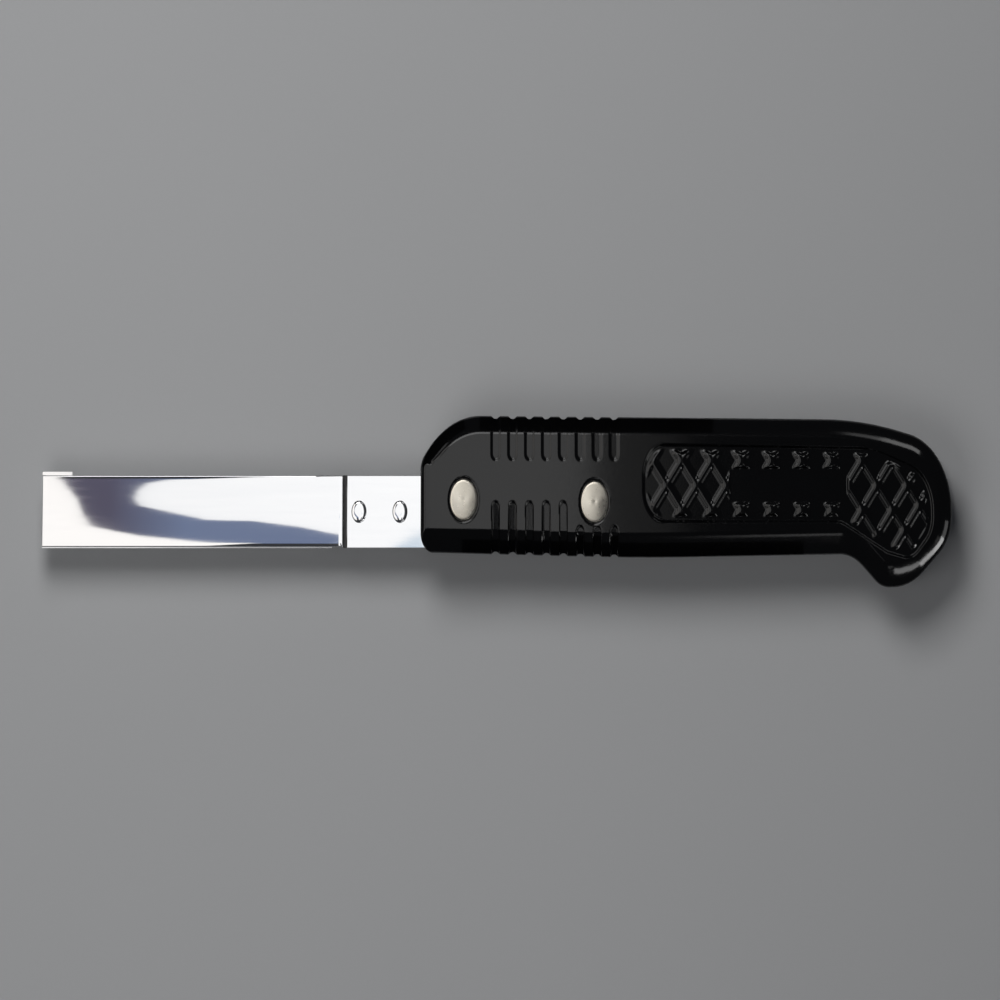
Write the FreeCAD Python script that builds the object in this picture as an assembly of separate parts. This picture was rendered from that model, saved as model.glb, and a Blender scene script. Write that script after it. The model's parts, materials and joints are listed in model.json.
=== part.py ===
"""Trimming knife with a replaceable blade: a hinged clamp plate holds a thin steel blade on a
stainless holder, whose tang is riveted between two moulded grip halves.

Writes one STEP file per piece. Lengths are millimetres. Everything is drawn from a point just behind
the grip's front face, on the blade's centre line: X runs from there to the butt, Y to the spine, and
Z up from the surface that the knife lies on. Each piece is moved when it is written, so that the origin of
the part is the middle of its box, on that surface.
"""

import FreeCAD, Part
import math
import os

from FreeCAD import Vector

# Driving dimensions
STEEL_REACH = 104.8  # tip to X = 0
GRIP_FRONT = -0.4
GRIP_BUTT = 146.0
GRIP_THICK = 16.0
GRIP_TOP = 17.75  # spine side of the grip, above the blade's centre line
GRIP_TOP_REAR = 17.0  # the spine side falls a little towards the butt
GRIP_BOTTOM = -7.5  # lower edge at the front
BELLY = (60.7, -8.55)  # the lower edge bows out gently to here
HOOK_BOTTOM = -13.9  # lowest point of the curled butt

STEEL_HALF_WIDTH = 6.7
HOLDER_THICK = 1.6
COVER_THICK = 1.0  # clamp plate and bolster plate
CLAMP_LENGTH = 83.0
CLAMP_GAP = 1.1  # between the clamp plate and the bolster plate

BLADE_LENGTH = 80.0
BLADE_WIDTH = 8.0
BLADE_THICK = 0.25
BLADE_REVEAL = 0.2  # cutting edge below the plates
BEVEL_WIDTH = 0.9
EDGE_THICK = 0.02

RIVET_HEAD_RADIUS = 3.8
RIVET_TUBE_RADIUS = 2.5
RIVET_SHANK_RADIUS = 1.7
RIVET_HEAD_THICK = 1.2
RIVET_SPOTS = {"fore": (11.5, 2.2), "aft": (47.6, 1.8)}
BOLSTER_RIVET_SPOTS = {"fore": (-17.4, 0.0), "aft": (-6.1, 0.0)}
BOLSTER_DOME_RADIUS = 2.1
BOLSTER_DOME_HEIGHT = 0.6
BOLSTER_SHANK_RADIUS = 1.0

FLUTE_FIRST = 20.3
FLUTE_PITCH = 4.67
FLUTE_COUNT = 8

# Derived levels and places
MID_Z = GRIP_THICK / 2
FIT = 0.05  # running clearance between neighbours
HOLDER_LOW = MID_Z - (HOLDER_THICK + COVER_THICK) / 2
HOLDER_TOP = HOLDER_LOW + HOLDER_THICK
STEEL_FACE = HOLDER_TOP + COVER_THICK
TIP_X = -STEEL_REACH
CLAMP_END_X = TIP_X + CLAMP_LENGTH
BOLSTER_X = CLAMP_END_X + CLAMP_GAP
PLATE_BOTTOM = -STEEL_HALF_WIDTH + BLADE_REVEAL
BLADE_BACK = -STEEL_HALF_WIDTH + BLADE_WIDTH
BLADE_END_X = TIP_X + BLADE_LENGTH

# Clamp hinge, at the rear end of the clamp plate
HINGE_X = CLAMP_END_X - 1.4
HINGE_Z = HOLDER_LOW + HOLDER_THICK / 2
PIN_RADIUS = 0.4
KNUCKLE_RADIUS = 0.75
KNUCKLE_HALF = 4.0
HEEL_RELIEF = 0.5  # lowers the holder behind the hinge, for the clamp plate's heel

# Snap lip and nail rest at the tip
LIP_THICK = 0.7
LIP_LOW = HOLDER_TOP - 1.1
LIP_START_Y = 2.0
NAIL_REST_LENGTH = 8.2
NAIL_REST_HEIGHT = 0.65
NAIL_REST_THICK = 0.9

# Tang inside the grip
TANG_LOW, TANG_HIGH = -4.5, 6.2
TANG_END = 100.0
BOLSTER_END = 20.0

# Grip halves
EDGE_ROUND = 3.0
DOWEL_SPOTS = {"mid": (106.0, 6.0), "butt": (131.0, -1.5)}
DOWEL_RADIUS = 1.5
DOWEL_LENGTH = 9.0
RECESS_DEPTH = 0.6

# Moulded lattice in the sunken panel of each grip half, with a blank plaque in its middle
LATTICE_NODE = (67.5, 4.9)
LATTICE_HALF_X = 4.16
LATTICE_HALF_Y = 4.55
LATTICE_RIB = 1.4
LATTICE_TOP_DROP = 0.1  # the ribs stop just under the grip's face
PLAQUE = (85.0, 117.3, 1.6, 8.0)  # x and y limits


def box(x0, x1, y0, y1, z0, z1):
    return Part.makeBox(x1 - x0, y1 - y0, z1 - z0, Vector(x0, y0, z0))


def post(x, y, z0, z1, radius):
    """Cylinder standing along Z."""
    return Part.makeCylinder(radius, z1 - z0, Vector(x, y, z0))


def rounded_wire(corners):
    """Closed wire through corners (x, y, radius), each one rounded by a tangent arc."""
    points = [Vector(x, y, 0) for x, y, _ in corners]
    count = len(corners)
    arcs = []
    for i, (_, _, radius) in enumerate(corners):
        here = points[i]
        back = (points[i - 1] - here).normalize()
        ahead = (points[(i + 1) % count] - here).normalize()
        half = back.getAngle(ahead) / 2
        reach = radius / math.tan(half)
        inward = (back + ahead).normalize()
        middle = here + inward * (radius / math.sin(half) - radius)
        arcs.append((here + back * reach, middle, here + ahead * reach))
    edges = []
    for i, (start, middle, end) in enumerate(arcs):
        edges.append(Part.Arc(start, middle, end).toShape())
        following = arcs[(i + 1) % count][0]
        if (following - end).Length > 1e-4:
            edges.append(Part.LineSegment(end, following).toShape())
    return Part.Wire(edges)


def grip_outline():
    """Side outline of the grip, from the lower front corner round by the spine to the curled butt."""
    return rounded_wire(
        [
            (GRIP_FRONT, GRIP_BOTTOM, 3.6),
            (GRIP_FRONT, 9.2, 4.0),
            (7.2, GRIP_TOP, 20.0),
            (121.7, GRIP_TOP_REAR, 109.0),
            (GRIP_BUTT, 11.9, 14.2),
            (GRIP_BUTT, -4.9, 8.7),
            (134.3, HOOK_BOTTOM, 14.3),
            (126.4, HOOK_BOTTOM, 6.0),
            (118.5, -7.8, 10.2),
            (*BELLY, 900.0),
        ]
    )


def recess_outline():
    """Sunken panel on each face of the grip, which carries the moulded lattice."""
    return rounded_wire(
        [
            (60.9, -2.0, 6.0),
            (60.9, 12.6, 6.0),
            (124.5, 11.9, 30.0),
            (140.9, 6.9, 9.0),
            (140.9, -3.5, 6.0),
            (135.0, -9.0, 5.0),
            (128.0, -7.6, 4.0),
            (115.5, -2.0, 8.0),
        ]
    )


def flute_places():
    """(x, side) of each finger flute; side is 1 on the spine and -1 on the lower edge."""
    places = [FLUTE_FIRST + i * FLUTE_PITCH for i in range(FLUTE_COUNT)]
    return [(x, side) for side in (1, -1) for x in places]


def lower_edge(x):
    """Y of the grip's lower edge ahead of the belly."""
    return GRIP_BOTTOM + (BELLY[1] - GRIP_BOTTOM) * x / BELLY[0]


def flute_cutters():
    """Round channels across the two long edges, each running on over the upper face."""
    edge_radius, edge_depth = 1.2, 0.85
    face_radius, face_depth = 1.4, 0.5
    face_end = {1: 9.9, -1: 1.4}
    cutters = []
    for x, side in flute_places():
        edge_y = GRIP_TOP - 0.1 if side > 0 else lower_edge(x)
        centre = edge_y + side * (edge_radius - edge_depth)
        cutters.append(post(x, centre, -1.0, GRIP_THICK + 1.0, edge_radius))
        end_y = face_end[side]
        if side < 0 and x > RIVET_SPOTS["aft"][0] - RIVET_HEAD_RADIUS - 1.5:
            end_y = -3.6  # short below the aft rivet
        start = Vector(x, end_y, GRIP_THICK + face_radius - face_depth)
        reach = abs(edge_y - end_y) + 2.0
        channel = Part.makeCylinder(face_radius, reach, start, Vector(0, side, 0))
        cutters += [channel, Part.makeSphere(face_radius, start)]
    return cutters


def plan_prism(wire, z0, z1):
    face = Part.Face(wire)
    face.translate(Vector(0, 0, z0))
    return face.extrude(Vector(0, 0, z1 - z0))


def lattice_bars():
    """Ribs of the lattice, both ways, as long bars that cover the whole sunken panel."""
    node_x, node_y = LATTICE_NODE
    low = GRIP_THICK - RECESS_DEPTH - 0.5
    high = GRIP_THICK - LATTICE_TOP_DROP
    length = 60.0
    angle = math.degrees(math.atan2(LATTICE_HALF_Y, LATTICE_HALF_X))
    bars = []
    for i in range(-2, 11):
        x = node_x + 2 * LATTICE_HALF_X * i
        for turn in (angle, -angle):
            bar = box(-length / 2, length / 2, -LATTICE_RIB / 2, LATTICE_RIB / 2, low, high)
            bar.rotate(Vector(0, 0, 0), Vector(0, 0, 1), turn)
            bar.translate(Vector(x, node_y, 0))
            bars.append(bar)
    return bars


def lattice_sink():
    """The sunken panel as a cutter: it leaves the ribs standing, but clears the plaque."""
    depth = GRIP_THICK - RECESS_DEPTH
    sink = plan_prism(recess_outline(), depth, GRIP_THICK + 1.0)
    x0, x1, y0, y1 = PLAQUE
    plaque = box(x0, x1, y0, y1, depth, GRIP_THICK)
    return sink.cut(lattice_bars()).fuse(plaque)


def steel_slot():
    """Room inside the grip for the holder's tang and the bolster plate."""
    mouth = box(
        -1.0, 3.0, -STEEL_HALF_WIDTH - FIT, STEEL_HALF_WIDTH + FIT,
        HOLDER_LOW - FIT, STEEL_FACE + FIT,
    )
    tang = box(
        1.0, TANG_END + FIT, TANG_LOW - FIT, TANG_HIGH + FIT,
        HOLDER_LOW - FIT, HOLDER_TOP + FIT,
    )
    bolster = box(
        1.0, BOLSTER_END + FIT, TANG_LOW - FIT, TANG_HIGH + FIT,
        HOLDER_TOP - FIT, STEEL_FACE + FIT,
    )
    return mouth.fuse([tang, bolster])


def grip_blank():
    """Upper half of the grip as moulded, before room is made for the steel."""
    body = plan_prism(grip_outline(), MID_Z, GRIP_THICK)
    rim = [
        edge
        for edge in body.Edges
        if abs(edge.BoundBox.ZMin - GRIP_THICK) < 1e-6
        and abs(edge.BoundBox.ZMax - GRIP_THICK) < 1e-6
    ]
    body = body.makeFillet(EDGE_ROUND, rim)

    body = body.cut([lattice_sink(), *flute_cutters()])
    holes = []
    for x, y in RIVET_SPOTS.values():
        holes.append(post(x, y, 0.0, GRIP_THICK + 1.0, RIVET_TUBE_RADIUS + FIT))
        seat = GRIP_THICK - RIVET_HEAD_THICK - 2 * FIT
        holes.append(post(x, y, seat, GRIP_THICK + 1.0, RIVET_HEAD_RADIUS + 0.2))
    for x, y in DOWEL_SPOTS.values():
        top = MID_Z + DOWEL_LENGTH / 2 + FIT
        holes.append(post(x, y, 0.0, top, DOWEL_RADIUS))
    return body.cut(holes)


def grip_halves():
    """Upper and lower half: the lower one mirrors the upper, but the steel lies low of the middle."""
    upper = grip_blank()
    lower = upper.mirror(Vector(0, 0, MID_Z), Vector(0, 0, 1))
    room = steel_slot()
    return upper.cut(room), lower.cut(room)


def holder_plate():
    """Blade bed and tang in one strip, with the blade's seat, the hinge window and the nail rest."""
    bed_start = TIP_X + LIP_THICK + 2 * FIT
    bed = box(
        TIP_X, BOLSTER_X, PLATE_BOTTOM, STEEL_HALF_WIDTH, HOLDER_LOW, HOLDER_TOP
    )
    lip_room = box(
        TIP_X - 1.0, bed_start, LIP_START_Y - 2 * FIT, STEEL_HALF_WIDTH + 1.0,
        HOLDER_LOW - 1.0, HOLDER_TOP + 1.0,
    )
    nail_rest = box(
        bed_start, TIP_X + NAIL_REST_LENGTH, STEEL_HALF_WIDTH - 1.0,
        STEEL_HALF_WIDTH + NAIL_REST_HEIGHT, HOLDER_LOW, HOLDER_LOW + NAIL_REST_THICK,
    )
    rest_tip = box(
        TIP_X, bed_start, STEEL_HALF_WIDTH + FIT,
        STEEL_HALF_WIDTH + NAIL_REST_HEIGHT, HOLDER_LOW, HOLDER_LOW + NAIL_REST_THICK,
    )
    neck = box(
        BOLSTER_X - 1.0, 2.5, -STEEL_HALF_WIDTH, STEEL_HALF_WIDTH, HOLDER_LOW, HOLDER_TOP
    )
    tang = box(1.5, TANG_END, TANG_LOW, TANG_HIGH, HOLDER_LOW, HOLDER_TOP)
    plate = bed.cut(lip_room).fuse([nail_rest, rest_tip, neck, tang]).removeSplitter()

    seat = box(
        TIP_X - 1.0, BLADE_END_X, PLATE_BOTTOM - 1.0, BLADE_BACK + FIT,
        HOLDER_TOP - BLADE_THICK - 0.03, HOLDER_TOP + 1.0,
    )
    window = box(
        HINGE_X - 1.4, HINGE_X + 1.4, -KNUCKLE_HALF - 0.2, KNUCKLE_HALF + 0.2,
        HOLDER_LOW - 1.0, HOLDER_TOP + 1.0,
    )
    heel = box(
        HINGE_X, BOLSTER_X, -STEEL_HALF_WIDTH - 1.0, STEEL_HALF_WIDTH + 1.0,
        HOLDER_TOP - HEEL_RELIEF, HOLDER_TOP + 1.0,
    )
    cuts = [seat, window, heel, hinge_bar(PIN_RADIUS, STEEL_HALF_WIDTH + 1.0)]
    for x, y in BOLSTER_RIVET_SPOTS.values():
        cuts.append(post(x, y, 0.0, GRIP_THICK, BOLSTER_SHANK_RADIUS))
    for x, y in RIVET_SPOTS.values():
        cuts.append(post(x, y, 0.0, GRIP_THICK, RIVET_TUBE_RADIUS + FIT))
    for start, end in ((58.0, 72.0), (78.0, 92.0)):
        cuts.append(tang_slot(start, end))
    return plate.cut(cuts)


def tang_slot(start, end):
    """Oblong lightening hole in the tang."""
    radius = 2.2
    middle = (TANG_LOW + TANG_HIGH) / 2
    bar = box(start, end, middle - radius, middle + radius, 0.0, GRIP_THICK)
    ends = [post(x, middle, 0.0, GRIP_THICK, radius) for x in (start, end)]
    return bar.fuse(ends)


def hinge_bar(radius, half_length):
    """Cylinder along the clamp hinge's axis."""
    low = Vector(HINGE_X, -half_length, HINGE_Z)
    return Part.makeCylinder(radius, 2 * half_length, low, Vector(0, 1, 0))


def hinge_pin():
    bar = hinge_bar(PIN_RADIUS, STEEL_HALF_WIDTH - 0.1)
    trim = box(
        HINGE_X - 2, HINGE_X + 2, -STEEL_HALF_WIDTH - 1, PLATE_BOTTOM, 0.0, GRIP_THICK
    )
    return bar.cut(trim)


def clamp_plate():
    """Sprung cover over the blade: a knuckle at its heel and a snap lip over the holder's tip."""
    under = HOLDER_TOP + 0.02
    plate = box(TIP_X, CLAMP_END_X, PLATE_BOTTOM, STEEL_HALF_WIDTH, under, STEEL_FACE)
    corners = [
        edge
        for edge in plate.Edges
        if edge.Length < COVER_THICK and abs(edge.BoundBox.XMin - TIP_X) < 1e-6
    ]
    plate = plate.makeFillet(0.4, corners)
    face_rim = [
        edge
        for edge in plate.Edges
        if edge.BoundBox.ZMin > STEEL_FACE - 1e-6
    ]
    plate = plate.makeChamfer(0.12, face_rim)
    lip = box(
        TIP_X, TIP_X + LIP_THICK, LIP_START_Y, STEEL_HALF_WIDTH - 0.4, LIP_LOW, under + 0.2
    )
    web = box(
        HINGE_X - KNUCKLE_RADIUS, HINGE_X + KNUCKLE_RADIUS, -KNUCKLE_HALF, KNUCKLE_HALF,
        HINGE_Z, under + 0.2,
    )
    barrel = hinge_bar(KNUCKLE_RADIUS, KNUCKLE_HALF)
    whole = plate.fuse([lip, web, barrel]).removeSplitter()
    return whole.cut(hinge_bar(PIN_RADIUS + 0.03, KNUCKLE_HALF + 1.0))


def blade():
    """Disposable blade: a flat strip with a double bevel along its lower edge."""
    low = HOLDER_TOP - BLADE_THICK - 0.02
    high = low + BLADE_THICK
    middle = (low + high) / 2
    edge_y = -STEEL_HALF_WIDTH
    profile = [
        (edge_y, middle - EDGE_THICK / 2),
        (edge_y + BEVEL_WIDTH, low),
        (BLADE_BACK, low),
        (BLADE_BACK, high),
        (edge_y + BEVEL_WIDTH, high),
        (edge_y, middle + EDGE_THICK / 2),
    ]
    points = [Vector(TIP_X, y, z) for y, z in profile]
    face = Part.Face(Part.makePolygon(points + points[:1]))
    return face.extrude(Vector(BLADE_LENGTH, 0, 0))


def bolster_plate():
    """Cover plate over the neck of the holder, which runs on into the grip to the fore rivet."""
    neck = box(
        BOLSTER_X, 2.5, -STEEL_HALF_WIDTH, STEEL_HALF_WIDTH, HOLDER_TOP, STEEL_FACE
    )
    face_rim = [
        edge
        for edge in neck.Edges
        if edge.BoundBox.ZMin > STEEL_FACE - 1e-6 and edge.BoundBox.XMin < 0
    ]
    neck = neck.makeChamfer(0.12, face_rim)
    tongue = box(1.5, BOLSTER_END, TANG_LOW, TANG_HIGH, HOLDER_TOP, STEEL_FACE)
    x, y = RIVET_SPOTS["fore"]
    cuts = [post(x, y, 0.0, GRIP_THICK, RIVET_TUBE_RADIUS + FIT)]
    for x, y in BOLSTER_RIVET_SPOTS.values():
        cuts.append(post(x, y, 0.0, GRIP_THICK, BOLSTER_SHANK_RADIUS))
    return neck.fuse(tongue).removeSplitter().cut(cuts)


def dome(x, y, z, radius, height, up):
    """Spherical cap on a flat foot at z, pointing up or down."""
    sphere_radius = (radius**2 + height**2) / (2 * height)
    centre = Vector(x, y, z + up * (height - sphere_radius))
    ball = Part.makeSphere(sphere_radius, centre)
    low, high = (z, z + height + 1.0) if up > 0 else (z - height - 1.0, z)
    return ball.common(box(x - radius, x + radius, y - radius, y + radius, low, high))


def bolster_rivet(spot):
    """Round-head rivet through bolster and holder, with a low peened tail underneath."""
    x, y = spot
    shank = post(x, y, HOLDER_LOW, STEEL_FACE, BOLSTER_SHANK_RADIUS)
    head = dome(x, y, STEEL_FACE, BOLSTER_DOME_RADIUS, BOLSTER_DOME_HEIGHT, 1)
    tail = dome(x, y, HOLDER_LOW, 1.7, 0.4, -1)
    return shank.fuse([head, tail]).removeSplitter()


def rivet_head(x, y, foot_z, up):
    """Low domed head, flush with the grip's face at its crown."""
    crown = 0.25
    rim_z = foot_z + up * (RIVET_HEAD_THICK - crown)
    low, high = sorted((foot_z, rim_z))
    disc = post(x, y, low, high, RIVET_HEAD_RADIUS)
    return disc.fuse(dome(x, y, rim_z, RIVET_HEAD_RADIUS, crown, up))


def rivet_post(spot):
    """Male half: head in the upper face, solid shank into the cap's tube."""
    x, y = spot
    foot = GRIP_THICK - RIVET_HEAD_THICK - FIT
    head = rivet_head(x, y, foot, 1)
    shank = post(x, y, 3.0, foot, RIVET_SHANK_RADIUS)
    return head.fuse(shank).removeSplitter()


def rivet_cap(spot):
    """Female half: head in the lower face, tube through the tang."""
    x, y = spot
    foot = RIVET_HEAD_THICK + FIT
    head = rivet_head(x, y, foot, -1)
    tube = post(x, y, foot, 12.0, RIVET_TUBE_RADIUS)
    bore = post(x, y, 2.5, 13.0, RIVET_SHANK_RADIUS + 0.02)
    return head.fuse(tube).removeSplitter().cut(bore)


def dowel(spot):
    """Locating pin that holds the two grip halves together behind the tang."""
    x, y = spot
    half = DOWEL_LENGTH / 2
    pin = post(x, y, MID_Z - half, MID_Z + half, DOWEL_RADIUS - 0.01)
    ends = [edge for edge in pin.Edges if isinstance(edge.Curve, Part.Circle)]
    return pin.makeChamfer(0.3, ends)


def pieces():
    upper, lower = grip_halves()
    made = {
        "grip_half_upper": upper,
        "grip_half_lower": lower,
        "holder_plate": holder_plate(),
        "clamp_plate": clamp_plate(),
        "clamp_hinge_pin": hinge_pin(),
        "blade": blade(),
        "bolster_plate": bolster_plate(),
    }
    for name, spot in BOLSTER_RIVET_SPOTS.items():
        made[f"bolster_rivet_{name}"] = bolster_rivet(spot)
    for name, spot in RIVET_SPOTS.items():
        made[f"grip_rivet_post_{name}"] = rivet_post(spot)
        made[f"grip_rivet_cap_{name}"] = rivet_cap(spot)
    for name, spot in DOWEL_SPOTS.items():
        made[f"grip_dowel_{name}"] = dowel(spot)
    return made


def origin_shift():
    """Move that puts the middle of the knife's box at X = Y = 0."""
    side = grip_outline().BoundBox
    return Vector(-(side.XMax + TIP_X) / 2, -(side.YMax + side.YMin) / 2, 0)


def main():
    os.makedirs("parts", exist_ok=True)
    shift = origin_shift()
    for name, shape in pieces().items():
        shape.translate(shift)
        shape.exportStep(f"parts/{name}.step")
        size = shape.BoundBox
        print(
            f"{name}: {len(shape.Solids)} solid, {shape.Volume:.1f} mm3, valid {shape.isValid()}, "
            f"{size.XLength:.2f} x {size.YLength:.2f} x {size.ZLength:.2f}"
        )


main()
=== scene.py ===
"""Looks of a trimming knife with a replaceable blade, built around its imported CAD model.

The CAD gives every place and size. Two moulded grip skins, the crowned clamp cover and the turned
rivet heads replace plainer CAD solids, and the other CAD nodes keep their shape and get materials.

Lengths in the shape code are millimetres in the grip's own axes: X from just behind the grip's
front face to the butt, Y from the blade's centre line to the spine, Z up from the surface the
knife lies on.
"""

import json
import math

import bpy
import numpy as np
from mathutils import Matrix, Vector


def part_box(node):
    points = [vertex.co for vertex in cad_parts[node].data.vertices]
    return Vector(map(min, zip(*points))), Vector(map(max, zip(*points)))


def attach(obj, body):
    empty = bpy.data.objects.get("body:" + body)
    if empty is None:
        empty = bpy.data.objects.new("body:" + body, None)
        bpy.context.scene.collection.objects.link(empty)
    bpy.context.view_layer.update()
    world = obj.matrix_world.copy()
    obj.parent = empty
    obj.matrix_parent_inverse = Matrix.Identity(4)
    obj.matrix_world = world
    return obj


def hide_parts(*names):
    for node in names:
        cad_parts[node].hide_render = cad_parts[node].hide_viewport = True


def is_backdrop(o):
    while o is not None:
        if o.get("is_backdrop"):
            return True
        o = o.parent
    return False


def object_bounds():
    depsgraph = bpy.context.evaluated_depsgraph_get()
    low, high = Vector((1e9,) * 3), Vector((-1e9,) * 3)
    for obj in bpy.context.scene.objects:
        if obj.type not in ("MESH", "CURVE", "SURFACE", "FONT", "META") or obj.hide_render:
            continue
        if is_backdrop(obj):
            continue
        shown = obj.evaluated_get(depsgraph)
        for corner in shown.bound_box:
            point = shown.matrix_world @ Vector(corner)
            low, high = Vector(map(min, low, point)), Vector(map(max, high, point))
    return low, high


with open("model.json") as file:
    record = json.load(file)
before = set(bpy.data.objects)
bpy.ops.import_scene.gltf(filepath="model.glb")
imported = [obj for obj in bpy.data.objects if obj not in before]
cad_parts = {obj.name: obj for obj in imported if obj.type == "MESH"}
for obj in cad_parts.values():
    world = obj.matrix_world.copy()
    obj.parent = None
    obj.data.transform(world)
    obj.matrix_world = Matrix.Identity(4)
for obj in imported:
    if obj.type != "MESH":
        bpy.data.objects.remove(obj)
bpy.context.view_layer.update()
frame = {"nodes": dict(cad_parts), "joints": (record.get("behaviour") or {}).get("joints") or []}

MM = 0.001
grip_low, grip_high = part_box("grip_half_upper")

# Grip, in millimetres
HOOK_BOTTOM = -13.9
GRIP_FRONT = -0.4
GRIP_BUTT = (grip_high.x - grip_low.x) / MM + GRIP_FRONT
GRIP_FACE = grip_high.z / MM
MID_Z = GRIP_FACE / 2
GRIP_ORIGIN = Vector((grip_low.x - GRIP_FRONT * MM, grip_low.y - HOOK_BOTTOM * MM, 0.0))
clamp_low, clamp_high = (
    (corner - GRIP_ORIGIN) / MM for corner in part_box("clamp_plate")
)
GRIP_CORNERS = (
    (GRIP_FRONT, -7.5, 3.6),
    (GRIP_FRONT, 9.2, 4.0),
    (7.2, 17.75, 20.0),
    (121.7, 17.0, 109.0),
    (GRIP_BUTT, 11.9, 14.2),
    (GRIP_BUTT, -4.9, 8.7),
    (134.3, HOOK_BOTTOM, 14.3),
    (126.4, HOOK_BOTTOM, 6.0),
    (118.5, -7.8, 10.2),
    (60.7, -8.55, 900.0),
)
RECESS_CORNERS = (
    (60.9, -2.0, 6.0),
    (60.9, 12.6, 6.0),
    (124.5, 11.9, 30.0),
    (140.9, 6.9, 9.0),
    (140.9, -3.5, 6.0),
    (135.0, -9.0, 5.0),
    (128.0, -7.6, 4.0),
    (115.5, -2.0, 8.0),
)
SPINE_ROUND = 3.5  # width of the rolled edge on the spine and the butt
LOWER_ROUND = 4.7  # and along the cutting edge's side, the hook included
FRONT_ROUND = 1.3  # and across the front face
FRONT_CHAMFER = 2.6  # reach of the slight chamfer behind the front face
FRONT_SLOPE = 0.07
CREASE = 0.38  # slope at which a rolled edge leaves the face
CREASE_SOFT = 0.08  # share of its width over which that slope sets in
EDGE_DROP = 0.95  # how far it then rounds down to the side wall
RECESS_DEPTH = 0.6
LATTICE_NODE = (67.5, 4.9)
LATTICE_HALF_X = 4.16
LATTICE_HALF_Y = 4.55
LATTICE_RIB_HALF = 1.4
LATTICE_TIGHT = 0.25  # how much closer the ribs that lean right come past this many half pitches
LATTICE_TIGHT_FROM = 16
LATTICE_HEIGHT = 0.5
PLAQUE = (85.0, 117.3, 1.6, 8.0)
FLUTE_FIRST = 20.3
FLUTE_PITCH = 4.67
FLUTE_COUNT = 8
FLUTE_NOTCH = 0.5  # cut into the long edges
FLUTE_SPINE_END = 10.7  # how far down the flutes from the spine reach
FLUTE_SPINE_DEPTH = 0.2
FLUTE_LOWER_END = 0.9  # how far up the flutes from the lower edge reach, and under the rivet
FLUTE_LOWER_END_SHORT = -3.6
FLUTE_LOWER_DEPTH = 0.25
FLUTE_LOWER_FALL = 0.11  # and how much deeper they get per millimetre towards the edge
RIVET_SPOTS = {"fore": (11.5, 2.2), "aft": (47.6, 1.8)}
RIVET_RADIUS = 3.8
RIVET_SEAT = 0.8  # depth of the recess around a rivet head
RING_ANGLE = 170.0  # turning marks on a rivet head: radians of wave over its full width
SHARP_ANGLE = 48  # degrees between two faces that meet at a sharp edge

# Steel, in millimetres
CLAMP_GAP = 1.1  # between the clamp plate and the bolster plate
CLAMP_CROWN = 0.17
CLAMP_THICKNESS = 0.98
POCKET_HALF = 2.8  # half the length of the painted shade that darkens the pocket around that gap
BOLSTER_RIVET_SPOTS = {"fore": (-17.4, 0.0), "aft": (-6.1, 0.0)}


def smooth(value, low, high):
    """0 below low, 1 above high, and an S-curve between; low may be the larger of the two."""
    t = np.clip((value - low) / (high - low), 0.0, 1.0)
    return t * t * (3 - 2 * t)


def make_piece(name, points, faces, material, body, slot, replaced=()):
    """Mesh object from points in millimetres in the grip's axes, riding on a CAD body."""
    mesh = bpy.data.meshes.new(name)
    placed = np.asarray(points, dtype=float) * MM + np.array(GRIP_ORIGIN)
    mesh.from_pydata(placed.tolist(), [], faces)
    mesh.materials.append(material)
    mesh.shade_smooth()
    mesh.set_sharp_from_angle(angle=math.radians(SHARP_ANGLE))
    mesh.validate()
    piece = bpy.data.objects.new(name, mesh)
    bpy.context.scene.collection.objects.link(piece)
    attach(piece, body)
    if replaced:
        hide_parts(*replaced)
    return piece


# Shapes ------------------------------------------------------------------------------------------


def corner_bends(corners):
    """Tangent arc at every corner (x, y, radius): its centre, start, radius and turn in radians."""
    spots = [np.array(c[:2]) for c in corners]
    bends = []
    for i, (_, _, radius) in enumerate(corners):
        here = spots[i]
        back = spots[i - 1] - here
        ahead = spots[(i + 1) % len(spots)] - here
        back /= np.linalg.norm(back)
        ahead /= np.linalg.norm(ahead)
        half = math.acos(float(np.clip(back @ ahead, -1, 1))) / 2
        inward = (back + ahead) / np.linalg.norm(back + ahead)
        centre = here + inward * radius / math.sin(half)
        start = here + back * radius / math.tan(half) - centre
        end = here + ahead * radius / math.tan(half) - centre
        turn = math.atan2(start[0] * end[1] - start[1] * end[0], float(start @ end))
        bends.append((centre, start, radius, turn))
    return bends


def spun(arm, angle):
    """A vector turned by an angle."""
    c, s = math.cos(angle), math.sin(angle)
    return np.array((c * arm[0] - s * arm[1], s * arm[0] + c * arm[1]))


def rounded_outline(corners, step=0.3):
    """Closed polyline along the rounded corners."""
    outline = []
    for centre, start, radius, turn in corner_bends(corners):
        count = max(4, math.ceil(abs(turn) * radius / step))
        outline += [centre + spun(start, turn * k / count) for k in range(count + 1)]
    return np.array(outline)


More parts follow.
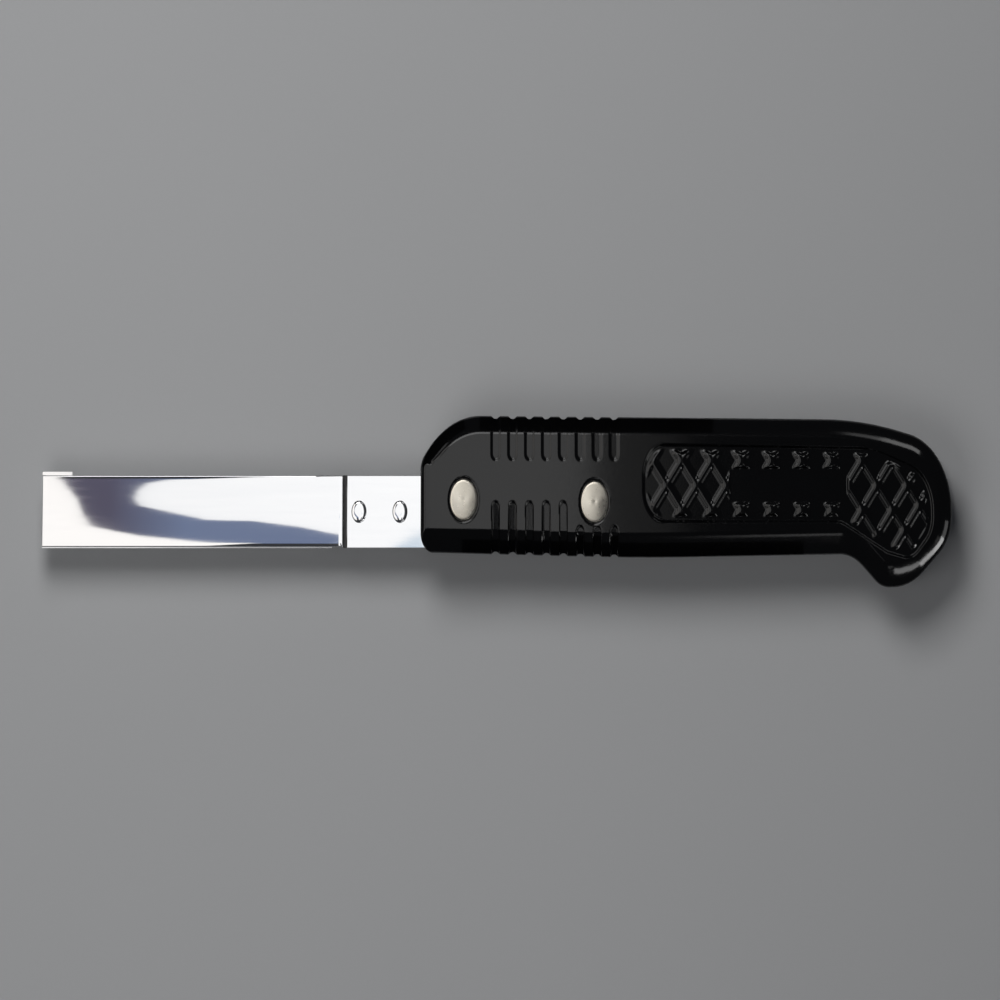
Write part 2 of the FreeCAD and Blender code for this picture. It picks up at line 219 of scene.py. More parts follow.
def measure(corners, x, y):
    """Depth inside the rounded corners, negative outside, and the outward normal as two numbers."""
    best = np.full(x.shape, 1e9)
    depth, normal_x, normal_y = np.zeros(x.shape), np.zeros(x.shape), np.zeros(x.shape)
    bends = corner_bends(corners)
    for bend, following in zip(bends, bends[1:] + bends[:1]):
        centre, start, radius, turn = bend
        dx, dy = x - centre[0], y - centre[1]
        reach = np.maximum(np.hypot(dx, dy), 1e-9)
        swept = np.arctan2(start[0] * dy - start[1] * dx, start[0] * dx + start[1] * dy) / turn
        gap = np.abs(reach - radius)
        nearer = (swept >= 0) & (swept <= 1) & (gap < best)
        side = -math.copysign(1.0, turn)
        best[nearer] = gap[nearer]
        depth[nearer] = side * (radius - reach)[nearer]
        normal_x[nearer], normal_y[nearer] = (side * dx / reach)[nearer], (side * dy / reach)[nearer]
        a = centre + spun(start, turn)
        along = following[0] + following[1] - a
        length = np.linalg.norm(along)
        if length < 1e-6:
            continue
        along /= length
        t = np.clip((x - a[0]) * along[0] + (y - a[1]) * along[1], 0.0, length)
        gap = np.hypot(x - a[0] - t * along[0], y - a[1] - t * along[1])
        nearer = gap < best
        best[nearer] = gap[nearer]
        depth[nearer] = ((x - a[0]) * along[1] - (y - a[1]) * along[0])[nearer]
        normal_x[nearer], normal_y[nearer] = -along[1], along[0]
    return depth, normal_x, normal_y


def column_limits(outline, xs):
    """Lowest and highest Y of the outline at each X."""
    low = np.full(xs.shape, 1e9)
    high = np.full(xs.shape, -1e9)
    for (ax, ay), (bx, by) in zip(outline, np.roll(outline, -1, axis=0)):
        if abs(bx - ax) < 1e-9:
            continue
        t = (xs - ax) / (bx - ax)
        hit = (t >= 0) & (t <= 1)
        y = ay + t * (by - ay)
        low = np.where(hit, np.minimum(low, y), low)
        high = np.where(hit, np.maximum(high, y), high)
    return low, high


def flute_places():
    """X of the middle of every finger flute."""
    return [FLUTE_FIRST + i * FLUTE_PITCH for i in range(FLUTE_COUNT)]


def notches(x):
    """How far the finger flutes cut into the long edges at X."""
    cut = np.zeros(x.shape)
    for place in flute_places():
        cut += FLUTE_NOTCH * smooth(np.abs(x - place), 1.35, 0.25)
    return cut


def flute_dip(x, y):
    """Depth of the flutes on the grip's face: shallow from the spine, deep from the lower edge."""
    dip = np.zeros(x.shape)
    rivet_x = RIVET_SPOTS["aft"][0]
    for place in flute_places():
        beyond = np.maximum(FLUTE_SPINE_END - y, 0.0)
        dip += FLUTE_SPINE_DEPTH * smooth(np.hypot(x - place, beyond), 1.45, 0.8)
        clear_of_rivet = place < rivet_x - RIVET_RADIUS - 1.5
        low_end = FLUTE_LOWER_END if clear_of_rivet else FLUTE_LOWER_END_SHORT
        beyond = np.maximum(y - low_end, 0.0)
        depth = FLUTE_LOWER_DEPTH + FLUTE_LOWER_FALL * np.clip(low_end + 0.9 - y, 0.0, 5.7)
        dip += depth * smooth(np.hypot(x - place, beyond), 1.15, 0.85)
    return dip


def lattice(x, y, margin):
    """Height of the lattice over the sunken panel's floor. margin is the distance from its wall."""
    p = (x - LATTICE_NODE[0]) / LATTICE_HALF_X
    q = (y - LATTICE_NODE[1]) / LATTICE_HALF_Y
    across = LATTICE_HALF_X * LATTICE_HALF_Y / math.hypot(LATTICE_HALF_X, LATTICE_HALF_Y)
    flat = np.ones(x.shape)
    past = np.maximum(p - q - LATTICE_TIGHT_FROM, 0.0)
    squeeze = 1 + LATTICE_TIGHT * (past > 0)
    for line, scale in ((p - q + LATTICE_TIGHT * past, across / squeeze), (p + q, across)):
        gap = np.abs(line - 2 * np.round(line / 2)) * scale
        flat *= 1 - (1 + np.cos(math.pi * np.minimum(gap / LATTICE_RIB_HALF, 1.0))) / 2
    rib = 1 - flat
    x0, x1, y0, y1 = PLAQUE
    off_plaque = np.maximum(np.maximum(x0 - x, x - x1), np.maximum(y0 - y, y - y1))
    return LATTICE_HEIGHT * rib * smooth(margin, 0.8, 2.0) * smooth(off_plaque, -0.2, 0.4)


def rolled_edge(gap, width, crease, steep=None):
    """How far the face has fallen at a distance from the outline: a crisp crease, then a round.

    steep is the round's own width where it is narrower than the crease's.
    """
    steep = width if steep is None else steep
    s = np.clip(1 - gap / width, 0.0, 1.0)
    t = np.clip(1 - gap / steep, 0.0, 1.0)
    ramp = np.sqrt(s * s + CREASE_SOFT**2) - CREASE_SOFT
    return crease * width * ramp + EDGE_DROP * (1 - np.sqrt(1 - t * t))


def grip_height(x, y):
    """Height of the upper grip face at (x, y), in millimetres over the surface below the knife."""
    gap, normal_x, normal_y = measure(GRIP_CORNERS, x, y)
    ahead = smooth(-normal_x, 0.62, 0.99)
    round_width = SPINE_ROUND + (FRONT_ROUND - SPINE_ROUND) * ahead
    below = smooth(-normal_y, 0.35, 0.9) * smooth(x, 4.0, 4.6) * smooth(x, 141.5, 133.5)
    round_width = round_width + (LOWER_ROUND - round_width) * below
    fall = rolled_edge(gap, round_width, CREASE)
    fall = np.maximum(fall, rolled_edge(x - GRIP_FRONT, FRONT_CHAMFER, FRONT_SLOPE, FRONT_ROUND))
    front_x, front_y = GRIP_CORNERS[0][:2]
    belly_x, belly_y = GRIP_CORNERS[-1][:2]
    over_edge = y - front_y - (belly_y - front_y) * (x - front_x) / (belly_x - front_x)
    along_edge = rolled_edge(over_edge, LOWER_ROUND, CREASE)
    fall = np.where(x < belly_x / 2, np.maximum(fall, along_edge), fall)
    height = GRIP_FACE - fall
    height -= flute_dip(x, y)
    margin, _, _ = measure(RECESS_CORNERS, x, y)
    height -= RECESS_DEPTH * smooth(margin, -0.1, 0.5)
    height += lattice(x, y, margin)
    for rivet_x, rivet_y in RIVET_SPOTS.values():
        reach = np.hypot(x - rivet_x, y - rivet_y)
        height -= RIVET_SEAT * smooth(reach, RIVET_RADIUS + 0.5, RIVET_RADIUS + 0.25)
    return height


def grip_shell():
    """Points and faces of the upper grip half: moulded face, side wall, parting groove and cap."""
    outline = rounded_outline(GRIP_CORNERS)
    end_zone, middle_step, groove = 3.0, 0.17, 0.14
    ease = end_zone * np.linspace(0.0, 1.0, 24) ** 2
    middle = np.arange(GRIP_FRONT + end_zone, GRIP_BUTT - end_zone, middle_step)
    tiny = 1e-4
    xs = np.concatenate((GRIP_FRONT + ease[:-1], middle, GRIP_BUTT - ease[::-1]))
    xs[0], xs[-1] = GRIP_FRONT + tiny, GRIP_BUTT - tiny
    low, high = column_limits(outline, xs)
    cut = notches(xs)
    low, high = low + cut, high - cut
    rows, crowding = 152, 0.045  # the rows stand a little closer towards the long edges
    v = np.linspace(0.0, 1.0, rows)
    v = v - crowding * np.sin(2 * math.pi * v)
    x = np.repeat(xs[:, None], rows, axis=1)
    y = low[:, None] + (high - low)[:, None] * v[None, :]
    z = grip_height(x, y)
    count = len(xs)
    points = np.stack((x, y, z), axis=-1).reshape(-1, 3)
    index = np.arange(count * rows).reshape(count, rows)
    quads = np.stack((index[:-1, :-1], index[1:, :-1], index[1:, 1:], index[:-1, 1:]), axis=-1)
    faces = quads.reshape(-1, 4).tolist()

    rim = np.concatenate(
        (index[:-1, 0], index[-1, :-1], index[:0:-1, -1], index[0, :0:-1])
    )
    ring = points[rim]
    along = np.roll(ring, -1, axis=0) - np.roll(ring, 1, axis=0)
    along /= np.linalg.norm(along[:, :2], axis=1)[:, None]
    inward = np.stack((-along[:, 1], along[:, 0], np.zeros(len(ring))), axis=-1)
    wall = ring.copy()
    wall[:, 2] = MID_Z + groove
    cap = ring + inward * groove
    cap[:, 2] = MID_Z
    first = len(points)
    n = len(rim)
    points = np.concatenate((points, wall, cap))
    wall_at = first + np.arange(n)
    cap_at = wall_at + n
    for k in range(n):
        j = (k + 1) % n
        faces.append([int(rim[j]), int(rim[k]), int(wall_at[k]), int(wall_at[j])])
        faces.append([int(wall_at[j]), int(wall_at[k]), int(cap_at[k]), int(cap_at[j])])
    place = {int(v): int(c) for v, c in zip(rim, cap_at)}
    bottom = [place[int(v)] for v in index[:, 0]]
    top = [place[int(v)] for v in index[:, -1]]
    start = [place[int(v)] for v in index[0, :]]
    end = [place[int(v)] for v in index[-1, :]]
    faces.append([*start, top[1], bottom[1]])
    faces.append([*end[::-1], bottom[-2], top[-2]])
    for i in range(1, count - 2):
        faces.append([bottom[i], top[i], top[i + 1], bottom[i + 1]])
    return points, faces


def turned_over(points, faces):
    """The same shape mirrored in the parting plane."""
    mirrored = np.array(points)
    mirrored[:, 2] = 2 * MID_Z - mirrored[:, 2]
    return mirrored, [face[::-1] for face in faces]


def turned(profile, x, y, count=96):
    """Solid of revolution about a vertical axis; profile is (radius, z) from the top down."""
    points, faces = [], []
    rings = []
    for radius, z in profile:
        if radius == 0:
            rings.append([len(points)])
            points.append((x, y, z))
            continue
        rings.append(list(range(len(points), len(points) + count)))
        for k in range(count):
            angle = 2 * math.pi * k / count
            points.append((x + radius * math.cos(angle), y + radius * math.sin(angle), z))
    for above, below in zip(rings, rings[1:]):
        for k in range(count):
            j = (k + 1) % count
            if len(above) == 1:
                faces.append([above[0], below[k], below[j]])
            elif len(below) == 1:
                faces.append([above[j], above[k], below[0]])
            else:
                faces.append([above[j], above[k], below[k], below[j]])
    return points, faces


def plate(x0, x1, y0, y1, z0, z1, roll=0.12, crown=0.0, sheet_columns=84, sheet_rows=24):
    """Flat plate with rolled upper edges; crown is how far its long edges fall below the middle."""

    def spaced(low, high, count):
        near = roll * np.array((0.0, 0.08, 0.3, 0.6, 1.0))
        inner = np.linspace(low + roll, high - roll, count)[1:-1]
        return np.concatenate((low + near, inner, (high - near)[::-1]))

    xs, ys = spaced(x0, x1, sheet_columns), spaced(y0, y1, sheet_rows)
    x, y = np.meshgrid(xs, ys, indexing="ij")
    across = (y - (y0 + y1) / 2) / ((y1 - y0) / 2)
    gap = np.minimum(np.minimum(x - x0, x1 - x), np.minimum(y - y0, y1 - y))
    s = np.clip(1 - gap / roll, 0.0, 1.0)
    z = z1 - crown * across**2 - roll * (1 - np.sqrt(1 - s * s))
    points = np.stack((x, y, z), axis=-1).reshape(-1, 3)
    index = np.arange(len(xs) * len(ys)).reshape(len(xs), len(ys))
    quads = np.stack((index[:-1, :-1], index[1:, :-1], index[1:, 1:], index[:-1, 1:]), axis=-1)
    faces = quads.reshape(-1, 4).tolist()
    rim = np.concatenate((index[:-1, 0], index[-1, :-1], index[:0:-1, -1], index[0, :0:-1]))
    foot = points[rim].copy()
    foot[:, 2] = z0
    first = len(points)
    points = np.concatenate((points, foot))
    n = len(rim)
    for k in range(n):
        j = (k + 1) % n
        faces.append([int(rim[j]), int(rim[k]), first + k, first + j])
    faces.append([first + k for k in range(n)][::-1])
    return points, faces


def joined(*shapes):
    """One list of points and faces from several."""
    points, faces = [], []
    for some_points, some_faces in shapes:
        first = len(points)
        points += [tuple(p) for p in some_points]
        faces += [[first + i for i in face] for face in some_faces]
    return points, faces


# Materials ---------------------------------------------------------------------------------------


class Maker:
    """Small helper that adds and links shader nodes."""

    def __init__(self, name):
        self.material = bpy.data.materials.new(name)
        self.material.use_nodes = True
        self.tree = self.material.node_tree
        self.shader = self.tree.nodes["Principled BSDF"]

    def node(self, kind, **inputs):
        made = self.tree.nodes.new(kind)
        for key, value in inputs.items():
            self.feed(made.inputs[key.replace("_", " ")], value)
        return made

    def feed(self, socket, value):
        if isinstance(value, bpy.types.NodeSocket):
            self.tree.links.new(value, socket)
        else:
            socket.default_value = value

    def place(self, stretch=(1, 1, 1), source="Object"):
        spot = self.node("ShaderNodeTexCoord").outputs[source]
        mapping = self.node("ShaderNodeMapping")
        mapping.inputs["Scale"].default_value = stretch
        self.feed(mapping.inputs["Vector"], spot)
        return mapping.outputs["Vector"]

    def noise(self, scale, detail=3.0, stretch=(1, 1, 1), roughness=0.5):
        made = self.node(
            "ShaderNodeTexNoise",
            Vector=self.place(stretch), Scale=scale, Detail=detail, Roughness=roughness,
        )
        return made.outputs["Fac"]

    def spread(self, value, low, high, from_low=0.3, from_high=0.7):
        """The value, mapped from one range to another."""
        made = self.node("ShaderNodeMapRange", Value=value)
        made.inputs["From Min"].default_value = from_low
        made.inputs["From Max"].default_value = from_high
        made.inputs["To Min"].default_value = low
        made.inputs["To Max"].default_value = high
        return made.outputs["Result"]

    def blend(self, value, dark, light):
        """The colour between two, at the value."""
        made = self.node("ShaderNodeMix")
        made.data_type = "RGBA"
        self.feed(made.inputs["Factor"], value)
        first, second = (i for i in made.inputs if i.type == "RGBA")
        first.default_value = (*dark, 1)
        second.default_value = (*light, 1)
        return next(o for o in made.outputs if o.type == "RGBA")

    def work(self, kind, operation, *values):
        """A math node, kind "Math" or "VectorMath", with its values; its result."""
        made = self.node("ShaderNode" + kind)
        made.operation = operation
        for socket, value in zip(made.inputs, values):
            self.feed(socket, value)
        return made.outputs["Value" if kind == "Math" or operation == "LENGTH" else "Vector"]

    def bump(self, height, distance, strength=1.0, normal=None):
        made = self.node("ShaderNodeBump", Height=height, Distance=distance, Strength=strength)
        if normal is not None:
            self.feed(made.inputs["Normal"], normal)
        return made.outputs["Normal"]

    def set(self, **values):
        for key, value in values.items():
            self.feed(self.shader.inputs[key.replace("_", " ")], value)


def black_resin():
    """Glossy black moulding with a fine spark-eroded grain and faint flow marks."""
    m = Maker("black_resin")
    grain = m.noise(2600.0, 4.0)
    flow = m.noise(60.0, 3.0, (1, 3, 1))
    m.set(
        Base_Color=m.blend(flow, (0.0013, 0.0013, 0.0015), (0.0023, 0.0023, 0.0026)),
        Roughness=m.spread(grain, 0.07, 0.11),
        Normal=m.bump(grain, 0.00001, 0.25),
    )
    m.shader.inputs["Specular IOR Level"].default_value = 0.5
    return m.material


def polished_steel():
    """Mirror-polished stainless: a trace of lengthwise polishing lines and a barely uneven face."""
    m = Maker("polished_steel")
    lines = m.noise(900.0, 2.0, (0.05, 1, 1))
    sway = m.noise(70.0, 1.0, (0.6, 1, 1))
    m.set(
        Base_Color=m.blend(lines, (0.86, 0.865, 0.88), (0.91, 0.912, 0.92)),
        Roughness=m.spread(lines, 0.032, 0.05),
        Normal=m.bump(lines, 0.000002, 0.3, m.bump(sway, 0.00006, 0.2)),
    )
    m.shader.inputs["Metallic"].default_value = 1.0
    return m.material


def ground_steel():
    """Stainless strip with fine grinding lines along the blade."""
    m = Maker("ground_blade")
    lines = m.noise(2200.0, 4.0, (1, 0.05, 1))
    cloud = m.noise(90.0, 2.0)
    tone = (0.68, 0.69, 0.71)
    m.set(
        Base_Color=m.blend(lines, tone, tuple(1.12 * t for t in tone)),
        Roughness=m.spread(cloud, 0.16, 0.26),
        Normal=m.bump(lines, 0.000012, 0.5),
    )
    m.shader.inputs["Metallic"].default_value = 1.0
    return m.material


def holder_steel():
    """Polished stainless, with painted shade: dark, not metallic and rough in the narrow pocket
    behind the clamp plate.
    """
    m = Maker("holder_steel")
    parts = m.node("ShaderNodeSeparateXYZ", Vector=m.place())
    pocket_middle = (clamp_high.x + CLAMP_GAP / 2) * MM + GRIP_ORIGIN.x
    offset = m.work("Math", "SUBTRACT", parts.outputs["X"], pocket_middle)
    reach = m.work("Math", "ABSOLUTE", offset)
    # Painted shade: in the pocket around the gap the colour turns near black and not metallic, where
    # shade falls; polished steel beside it.
    beside_painted_shade = m.spread(reach, 0.0, 1.0, POCKET_HALF * MM, (POCKET_HALF + 0.6) * MM)
    lines = m.noise(900.0, 2.0, (0.05, 1, 1))
    m.set(
        Base_Color=m.blend(beside_painted_shade, (0.035, 0.034, 0.034), (0.87, 0.875, 0.885)),
        Metallic=beside_painted_shade,
        Roughness=m.spread(beside_painted_shade, 0.5, 0.06, 0.0, 1.0),
        Normal=m.bump(lines, 0.000003, 0.4),
    )
    return m.material


def spun_metal():
    """Warm, light rivet metal with the fine rings that facing on a lathe leaves."""
    m = Maker("spun_metal")
    centred = m.work("VectorMath", "SUBTRACT", m.place(source="Generated"), (0.5, 0.5, 0.5))
    reach = m.work("VectorMath", "LENGTH", m.work("VectorMath", "MULTIPLY", centred, (1, 1, 0)))
    wave = m.work("Math", "SINE", m.work("Math", "MULTIPLY", reach, RING_ANGLE))
    rings = m.spread(wave, 0.0, 1.0, -1.0, 1.0)
    speckle = m.noise(1500.0, 3.0)
    m.set(
        Base_Color=m.blend(speckle, (0.75, 0.70, 0.60), (0.79, 0.74, 0.64)),
        Roughness=m.spread(speckle, 0.27, 0.31),
        Normal=m.bump(rings, 0.000004, 0.3),
    )
    tangent = m.node("ShaderNodeTangent")
    tangent.direction_type = "RADIAL"
    tangent.axis = "Z"
    m.feed(m.shader.inputs["Tangent"], tangent.outputs[0])
    m.shader.inputs["Metallic"].default_value = 1.0
    m.shader.inputs["Anisotropic"].default_value = 0.6
    return m.material


def paper_floor():
    """Matt pale table top, a little luminous far out, where the lights do not reach."""
    m = Maker("pale_floor")
    cloud = m.noise(6.0, 3.0)
    tooth = m.noise(900.0, 3.0)
    away = m.work("VectorMath", "LENGTH", m.place())
    m.set(
        Base_Color=m.blend(cloud, (0.50, 0.505, 0.51), (0.53, 0.533, 0.54)),
        Emission_Strength=m.spread(away, 0.0, 0.24, 0.4, 2.2),
        Roughness=m.spread(tooth, 0.8, 0.95),
        Normal=m.bump(tooth, 0.00005, 0.2),
    )
    m.shader.inputs["Specular IOR Level"].default_value = 0.2
    return m.material


# Pieces ------------------------------------------------------------------------------------------

resin = black_resin()
mirror = polished_steel()
holder_steel_and_painted_shade = holder_steel()
blade_finish = ground_steel()
rivet_finish = spun_metal()

shell = grip_shell()
make_piece(
    "grip_skin_upper", *shell, resin, "handle", "grip_resin", ["grip_half_upper"]
)
make_piece(
    "grip_skin_lower", *turned_over(*shell), resin, "handle", "grip_resin", ["grip_half_lower"]
)

rivet_crown = GRIP_FACE - 0.05
seat_profile = (
    (RIVET_RADIUS + 0.12, GRIP_FACE - 0.75),
    (RIVET_RADIUS + 0.12, GRIP_FACE - 0.10),
    (RIVET_RADIUS + 0.22, GRIP_FACE),
    (RIVET_RADIUS + 0.70, GRIP_FACE),
    (RIVET_RADIUS + 0.74, GRIP_FACE - 0.20),
    (RIVET_RADIUS + 0.12, GRIP_FACE - 0.75),
)
head_profile = (
    (0.0, rivet_crown - 0.03),
    (0.18, rivet_crown - 0.02),
    (0.35, rivet_crown),
    (1.2, rivet_crown - 0.02),
    (2.2, rivet_crown - 0.07),
    (3.2, rivet_crown - 0.16),
    (RIVET_RADIUS - 0.18, rivet_crown - 0.21),
    (RIVET_RADIUS - 0.05, rivet_crown - 0.27),
    (RIVET_RADIUS, rivet_crown - 0.40),
    (RIVET_RADIUS, rivet_crown - 1.15),
    (0.0, rivet_crown - 1.15),
)
for spot, (rivet_x, rivet_y) in RIVET_SPOTS.items():
    head = turned(head_profile, rivet_x, rivet_y)
    seat = turned(seat_profile, rivet_x, rivet_y)
    for side, flip in (("post", False), ("cap", True)):
        made_head = turned_over(*head) if flip else head
        made_seat = turned_over(*seat) if flip else seat
        make_piece(
            f"rivet_head_{side}_{spot}", *made_head, rivet_finish, "handle", "rivet_metal",
            [f"grip_rivet_{side}_{spot}"],
        )
        make_piece(
            f"rivet_seat_{side}_{spot}", *made_seat, resin, "handle", "grip_resin"
        )

plate_under = clamp_high.z - CLAMP_THICKNESS
hinge = next(j for j in frame["joints"] if j["name"] == "clamp_hinge")
hinge_spot = (Vector(hinge["pos_m"]) - GRIP_ORIGIN) / MM
knuckle_radius = 0.75
knuckle_half = 4.0
knuckle_points, knuckle_faces = turned(
    ((0.0, knuckle_half), (knuckle_radius, knuckle_half), (knuckle_radius, -knuckle_half),
     (0.0, -knuckle_half)), 0.0, 0.0, 40,
)
knuckle = (
    [(hinge_spot.x + px, pz, hinge_spot.z + py) for px, py, pz in knuckle_points],
    [face[::-1] for face in knuckle_faces],
)
cover = plate(
    clamp_low.x, clamp_high.x, clamp_low.y, clamp_high.y, plate_under, clamp_high.z,
    roll=0.22, crown=CLAMP_CROWN,
)
web = plate(
    hinge_spot.x - knuckle_radius, hinge_spot.x + knuckle_radius, -knuckle_half, knuckle_half,
    hinge_spot.z, plate_under + 0.3, roll=0.02, sheet_columns=4, sheet_rows=4,
)
lip = plate(
    clamp_low.x, clamp_low.x + 0.7, 2.0, clamp_high.y - 0.4, clamp_low.z, plate_under + 0.3,
    roll=0.05, sheet_columns=4, sheet_rows=4,
)
make_piece(
    "clamp_cover", *joined(cover, web, lip, knuckle), mirror, "clamp", "polished_steel",
    ["clamp_plate"],
)

steel_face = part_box("bolster_plate")[1].z / MM
steel_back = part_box("holder_plate")[0].z / MM


def dome(foot_z, radius, height, up):
    """(radius, z) along a low buttonhead, nearly flat on top and rolled round at its rim."""
    fullness = 3.8
    steps = 24
    profile = []
    for k in range(steps + 1):
        reach = 1 - (1 - k / steps) ** 2
        rise = (1 - reach**fullness) ** (1 / fullness)
        profile.append((radius * reach, foot_z + up * height * rise))
    return profile


dome_height = (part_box("bolster_rivet_fore")[1].z / MM - steel_face) - 0.005
for spot, (rivet_x, rivet_y) in BOLSTER_RIVET_SPOTS.items():
    upper = dome(steel_face, 2.08, dome_height, 1)
    lower = dome(steel_back, 1.68, 0.38, -1)
    make_piece(
        f"bolster_dome_{spot}", *turned([*upper, *lower[::-1]], rivet_x, rivet_y), mirror,
        "handle", "polished_steel", [f"bolster_rivet_{spot}"],
    )

finishes = {
    "bolster_plate": mirror,
    "holder_plate": holder_steel_and_painted_shade,
    "clamp_hinge_pin": holder_steel_and_painted_shade,
    "grip_dowel_mid": holder_steel_and_painted_shade,
    "grip_dowel_butt": holder_steel_and_painted_shade,
    "blade": blade_finish,
}
for node, finish in finishes.items():
    holder = frame["nodes"][node]
    holder.data.materials.clear()
    holder.data.materials.append(finish)

# Floor, lights and camera ------------------------------------------------------------------------

floor_mesh = bpy.data.meshes.new("floor")
FLOOR_REACH = 12.0
floor_mesh.from_pydata(
    [(x * FLOOR_REACH, y * FLOOR_REACH, 0) for x, y in ((-1, -1), (1, -1), (1, 1), (-1, 1))], [],
    [(0, 1, 2, 3)],
)
floor_mesh.materials.append(paper_floor())
floor = bpy.data.objects.new("floor", floor_mesh)
bpy.context.scene.collection.objects.link(floor)
floor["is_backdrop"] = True


def softbox(name, at, size, power):
    """Square studio light facing the knife; it is left out of reflections, which have cards."""
    data = bpy.data.lights.new(name, "AREA")
    data.shape = "RECTANGLE"
    data.size = data.size_y = size
    data.energy = power
    light = bpy.data.objects.new(name, data)
    light.location = at
    light.rotation_euler = (-Vector(at)).to_track_quat("-Z", "Y").to_euler()
    light.visible_glossy = False
    bpy.context.scene.collection.objects.link(light)


WHITE = (1.0, 1.0, 1.0)


def reflector(name, corners, radiance, left=WHITE, right=WHITE, span=(-0.125, 0.0)):
    """Card seen only in reflections, black at radiance 0; its colour runs from left to right."""
    mesh = bpy.data.meshes.new(name)
    mesh.from_pydata(corners, [], [list(range(len(corners)))])
    m = Maker(name)
    m.tree.nodes.clear()
    place = m.node("ShaderNodeTexCoord").outputs["Object"]
    parts = m.node("ShaderNodeSeparateXYZ", Vector=place)
    along = m.spread(parts.outputs["X"], 0.0, 1.0, *span)
    glow = m.node("ShaderNodeEmission", Color=m.blend(along, left, right), Strength=radiance)
    out = m.node("ShaderNodeOutputMaterial", Surface=glow.outputs[0])
    out.is_active_output = True
    mesh.materials.append(m.material)
    card = bpy.data.objects.new(name, mesh)
    bpy.context.scene.collection.objects.link(card)
    card.visible_camera = False
    card.visible_diffuse = False
    card.visible_shadow = False
    card.visible_transmission = False
    card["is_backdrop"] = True


def level(outline, height):
    """Corners of a level card."""
    return [(x, y, height) for x, y in outline]


SKY_DISTANCE = 0.9
SLOPE_Z = 0.013


def sky_patch(middle, azimuths, first, last):
    """Corners of a patch of sky over a place: what a polished slope of half that angle reflects."""
    count = 6
    corners = []
    for side, way in ((0, 1), (1, -1)):
        angles = np.linspace(first[side], last[side], count)
        for azimuth, angle in list(zip(np.linspace(*azimuths, count), angles))[::way]:
            out = SKY_DISTANCE * math.sin(math.radians(angle))
            corners.append((
                middle[0] + out * math.cos(math.radians(azimuth)),
                middle[1] + out * math.sin(math.radians(azimuth)),
                SLOPE_Z + SKY_DISTANCE * math.cos(math.radians(angle)),
            ))
    return corners


def fence(start, end, low, high):
    """Corners of an upright card along a line on the floor."""
    return [(*start, low), (*end, low), (*end, high), (*start, high)]


# Level cards that the steel and the grip's face mirror. The gap between the first two, with the
# bluish card above it, draws the dark curved band along the clamp plate.
CARD_Z = 0.36
reflector(
    "card_spine",
    level([(-0.1048, 0.013), (-0.1033, 0.0045), (-0.0973, -0.001), (-0.084, -0.0122),
           (-0.0708, -0.0142), (-0.0576, -0.0204), (-0.0443, -0.031), (-0.041, -0.115),
           (-0.012, -0.115), (-0.01, -0.052), (0.008, -0.052), (0.0105, -0.13), (0.0275, -0.13),
           (0.0275, 0.13), (-0.06, 0.13), (-0.088, 0.042), (-0.0943, 0.0367), (-0.1014, 0.0315),
           (-0.104, 0.0225)], CARD_Z),
    1.1, (0.92, 0.92, 0.92), WHITE,
)
reflector(
    "card_edge",
    level([(-0.1262, 0.042), (-0.1262, 0.25), (-0.4, 0.25), (-0.4, -0.2), (-0.12, -0.2),
           (-0.09, -0.15), (-0.069, -0.0445), (-0.084, -0.0393), (-0.1039, -0.0307),
           (-0.1167, -0.0195), (-0.119, -0.0054), (-0.1209, 0.013), (-0.1247, 0.0315)], CARD_Z),
    1.12, (1.0, 0.97, 0.94), (1.0, 0.98, 0.95),
)
reflector(
    "card_gap",
    level([(-0.13, -0.06), (-0.043, -0.06), (-0.043, 0.06), (-0.13, 0.06)], CARD_Z + 0.01),
    1.0, (0.095, 0.088, 0.13), (0.165, 0.205, 0.32), (-0.112, -0.09),
)
reflector(
    "card_blue",
    level([(-0.0315, -0.0098), (-0.0206, -0.0098), (-0.0206, -0.006), (-0.0245, -0.0068)],
          CARD_Z - 0.005),
    0.8, (0.75, 0.88, 1.0), (0.75, 0.88, 1.0),
)
reflector(
    "card_grip",
    level([(0.0275, -0.06), (0.052, -0.06), (0.052, 0.13), (0.0275, 0.13)], CARD_Z + 0.01),
    0.26,
)

# Patches of sky that the grip's slopes mirror: the lamps light the creases and the ribs, and the
# windows draw the highlight along the butt.
GRIP_MIDDLE = (0.02, 0.015)
LATTICE_MIDDLE = (0.08, 0.003)
BUTT_MIDDLE = (0.117, -0.004)
WINDOWS = (
    # name, middle, two azimuths in degrees, the range of angles off the zenith at each of them,
    # radiance
    ("lamp_spine", GRIP_MIDDLE, (89, 126), (20.5, 40), (20.5, 40), 2.8),
    ("lamp_ribs", LATTICE_MIDDLE, (128, 146), (50, 60), (50, 60), 1.4),
    ("lamp_ribs_low", LATTICE_MIDDLE, (214, 228), (50, 60), (50, 60), 0.6),
    ("lamp_ribs_right", LATTICE_MIDDLE, (-50, -36), (50, 59), (50, 59), 0.45),
    ("lamp_belly", (0.092, 0.0), (-91, -87), (42, 45.5), (42, 45.5), 0.9),
    ("lamp_shoulder", BUTT_MIDDLE, (62, 81), (46.5, 54), (46.5, 54), 2.6),
    ("lamp_shoulder_far", BUTT_MIDDLE, (81, 87), (46.5, 52), (46.5, 52), 1.0),
    ("window_butt_right", BUTT_MIDDLE, (-33, -8), (57.5, 70), (57.5, 70), 1.4),
    ("window_butt", BUTT_MIDDLE, (-53.2, -33), (57.5, 70.5), (57.5, 71), 8.0),
    ("window_butt_turn", BUTT_MIDDLE, (-62, -53.2), (49, 55), (57.5, 70.5), 6.5),
    ("window_butt_low", BUTT_MIDDLE, (-87, -62), (46, 52), (49, 55), 3.2),
)
for name, middle, azimuths, first, last, radiance in WINDOWS:
    reflector(name, sky_patch(middle, azimuths, first, last), radiance)

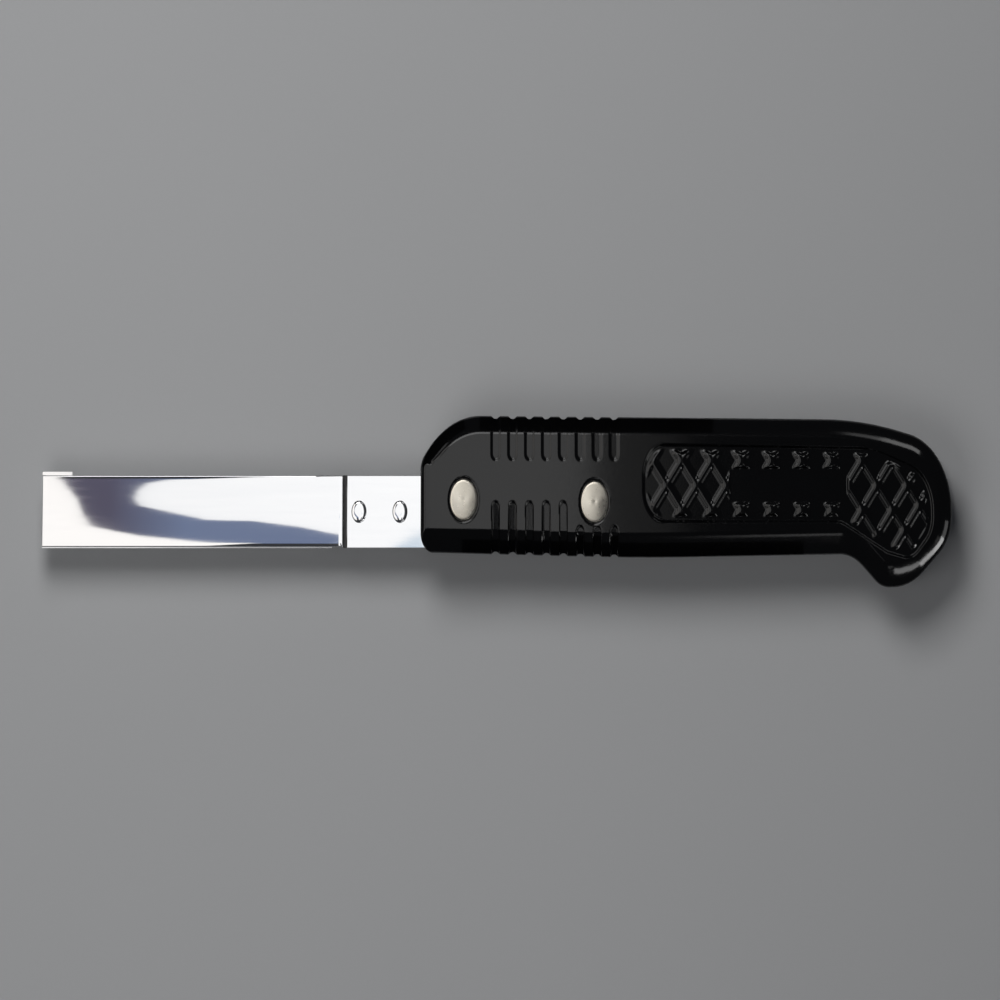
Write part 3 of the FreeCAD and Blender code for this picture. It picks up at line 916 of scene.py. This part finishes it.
# Black flags that keep the windows out of the finger flutes and off the grip's front corner.
FLAGS = (
    ("flag_belly", (-0.01, -0.03), (0.085, -0.03), 0.01, 0.034),
    ("flag_flute", (0.042, -0.0165), (0.042, -0.03), 0.008, 0.024),
    ("flag_spine", (-0.005, 0.03), (0.06, 0.03), 0.012, 0.033),
    ("flag_front", (-0.05, 0.012), (-0.015, 0.04), 0.01, 0.036),
)
for name, start, end, low, high in FLAGS:
    reflector(name, fence(start, end, low, high), 0.0)

softbox("key", (-0.18, 0.42, 0.62), 0.36, 2.6)
softbox("fill", (-0.35, -0.25, 0.75), 0.5, 1.25)

world = bpy.data.worlds.new("studio")
world.use_nodes = True
sky = world.node_tree.nodes["Background"]
sky.inputs["Color"].default_value = (0.86, 0.9, 1.0, 1)
sky.inputs["Strength"].default_value = 0.045
bpy.context.scene.world = world

# The view to match looks straight down, in a picture squeezed to two thirds of its width.
# This camera looks straight down through a very long lens, and its parent's matrix shears it by the
# same ratio, so that the outlines line up while the model keeps its true proportions. Any other view
# takes the camera off that parent and shows them.
SQUEEZE = 0.668
LENS = 1000.0
SENSOR = 36.0
VIEW_WIDTH = 0.27575  # metres across the picture
VIEW_CENTRE = Vector((21.5, 2.15, 14.0))  # millimetres in the grip's axes
camera_data = bpy.data.cameras.new("camera")
camera_data.lens = LENS
camera_data.sensor_width = SENSOR
camera_data.clip_end = 20.0
camera = bpy.data.objects.new("camera", camera_data)
camera_mount = bpy.data.objects.new("camera_mount", None)
bpy.context.scene.collection.objects.link(camera)
bpy.context.scene.collection.objects.link(camera_mount)
camera.parent = camera_mount
lean = math.sqrt(1 - SQUEEZE**2)
eye = GRIP_ORIGIN + VIEW_CENTRE * MM
eye.z += VIEW_WIDTH * LENS / SENSOR
camera.matrix_parent_inverse = Matrix((
    (1, 0, 0, eye.x), (0, SQUEEZE, 0, eye.y), (0, lean, 1, eye.z), (0, 0, 0, 1),
))
bpy.context.scene.camera = camera
bpy.context.scene.view_settings.view_transform = "Standard"

low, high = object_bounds()
